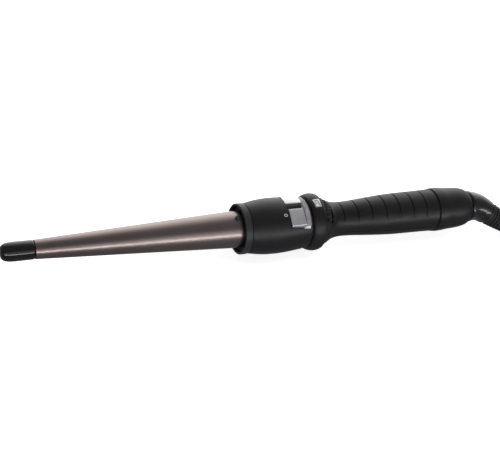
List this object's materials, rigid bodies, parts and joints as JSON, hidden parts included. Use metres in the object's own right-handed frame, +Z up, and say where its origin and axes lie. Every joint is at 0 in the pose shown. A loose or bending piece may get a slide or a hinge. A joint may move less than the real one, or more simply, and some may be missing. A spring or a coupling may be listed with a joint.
{
  "type": "curling iron",
  "caption": "Conical hair curling wand with a cool tip, a rocker switch, a thumbwheel heat dial and a mains cord on a swivel elbow.",
  "frame": {"origin": "on the surface that the wand lies on, under the middle of the wand and its swivel elbow", "axes": "+X along the wand from cool tip to cord, +Z up through the switch, cord leaving towards -Y and +X"},
  "size_m": [0.5874, 0.0591, 0.0456],
  "materials": {
    "cool_tip_black": "gloss",
    "soft_black": "soft-touch matt",
    "elbow_black": "gloss",
    "titanium": "titanium-coated satin",
    "satin_silver": "satin silver lacquer",
    "chrome_trim": "polished",
    "clear": "clear moulded plastic",
    "cord_rubber": "matt",
    "steel": "satin",
    "dark_steel": "blackened",
    "brass": "satin",
    "aluminium": "as extruded",
    "ceramic": "glazed ceramic",
    "heat_resin": "moulded",
    "board": "solder resist",
    "capacitor_blue": "moulded case",
    "lamp_red": "clear red",
    "lead_red": "insulated wire",
    "lead_white": "insulated wire",
    "carbon": "pressed carbon"
  },
  "bodies": {
    "cord_set": {"swivel_elbow": "elbow_black", "slip_ring_live": "brass", "slip_ring_neutral": "brass", "strain_relief": "cord_rubber", "cord_run": "cord_rubber", "cord_hank": "cord_rubber", "cord_tie": "cord_rubber", "cord_tail": "cord_rubber", "plug_body": "cord_rubber", "plug_pin_live": "brass", "plug_pin_neutral": "brass"},
    "wand": {"cool_tip": "cool_tip_black", "tip_screw": "steel", "tip_insert": "aluminium", "barrel": "titanium", "barrel_screw": "dark_steel", "heater_clamp_upper": "aluminium", "heater_clamp_lower": "aluminium", "ceramic_heater": "ceramic", "thermistor": "ceramic", "thermal_fuse": "steel", "barrel_holder": "heat_resin", "front_collar": "soft_black", "front_housing": "soft_black", "inner_chassis": "heat_resin", "switch_block": "soft_black", "rocker_pin": "steel", "indicator_lens": "clear", "indicator_lamp": "lamp_red", "window_ring": "soft_black", "window_frame": "chrome_trim", "dial_window": "clear", "dial_axle": "steel", "track_board": "board", "handle_upper_shell": "soft_black", "handle_lower_shell": "soft_black", "handle_screw_1": "steel", "handle_screw_2": "steel", "handle_screw_3": "steel", "control_board": "board", "triac": "carbon", "suppression_capacitor": "capacitor_blue", "mains_fuse": "ceramic", "heater_lead_live": "lead_red", "heater_lead_neutral": "lead_white", "supply_lead_live": "lead_red", "supply_lead_neutral": "lead_white", "brush_holder": "heat_resin", "brush_live": "carbon", "brush_neutral": "carbon"},
    "rocker": {"rocker_paddle": "satin_silver"},
    "dial": {"dial_wheel": "soft_black", "dial_wiper": "brass"}
  },
  "joints": [
    {"name": "cord_swivel", "type": "hinge", "parent": "cord_set", "child": "wand", "pos_m": [0.15498, 0, 0.0204], "axis": [1, 0, 0], "continuous": true},
    {"name": "rocker_tilt", "type": "hinge", "parent": "wand", "child": "rocker", "pos_m": [0.01337, 0, 0.0319], "axis": [-1, 0, 0], "range_deg": [0, 10]},
    {"name": "dial_turn", "type": "hinge", "parent": "wand", "child": "dial", "pos_m": [0.03397, 0, 0.0256], "axis": [1, 0, 0], "range_deg": [-150, 150]}
  ]
}
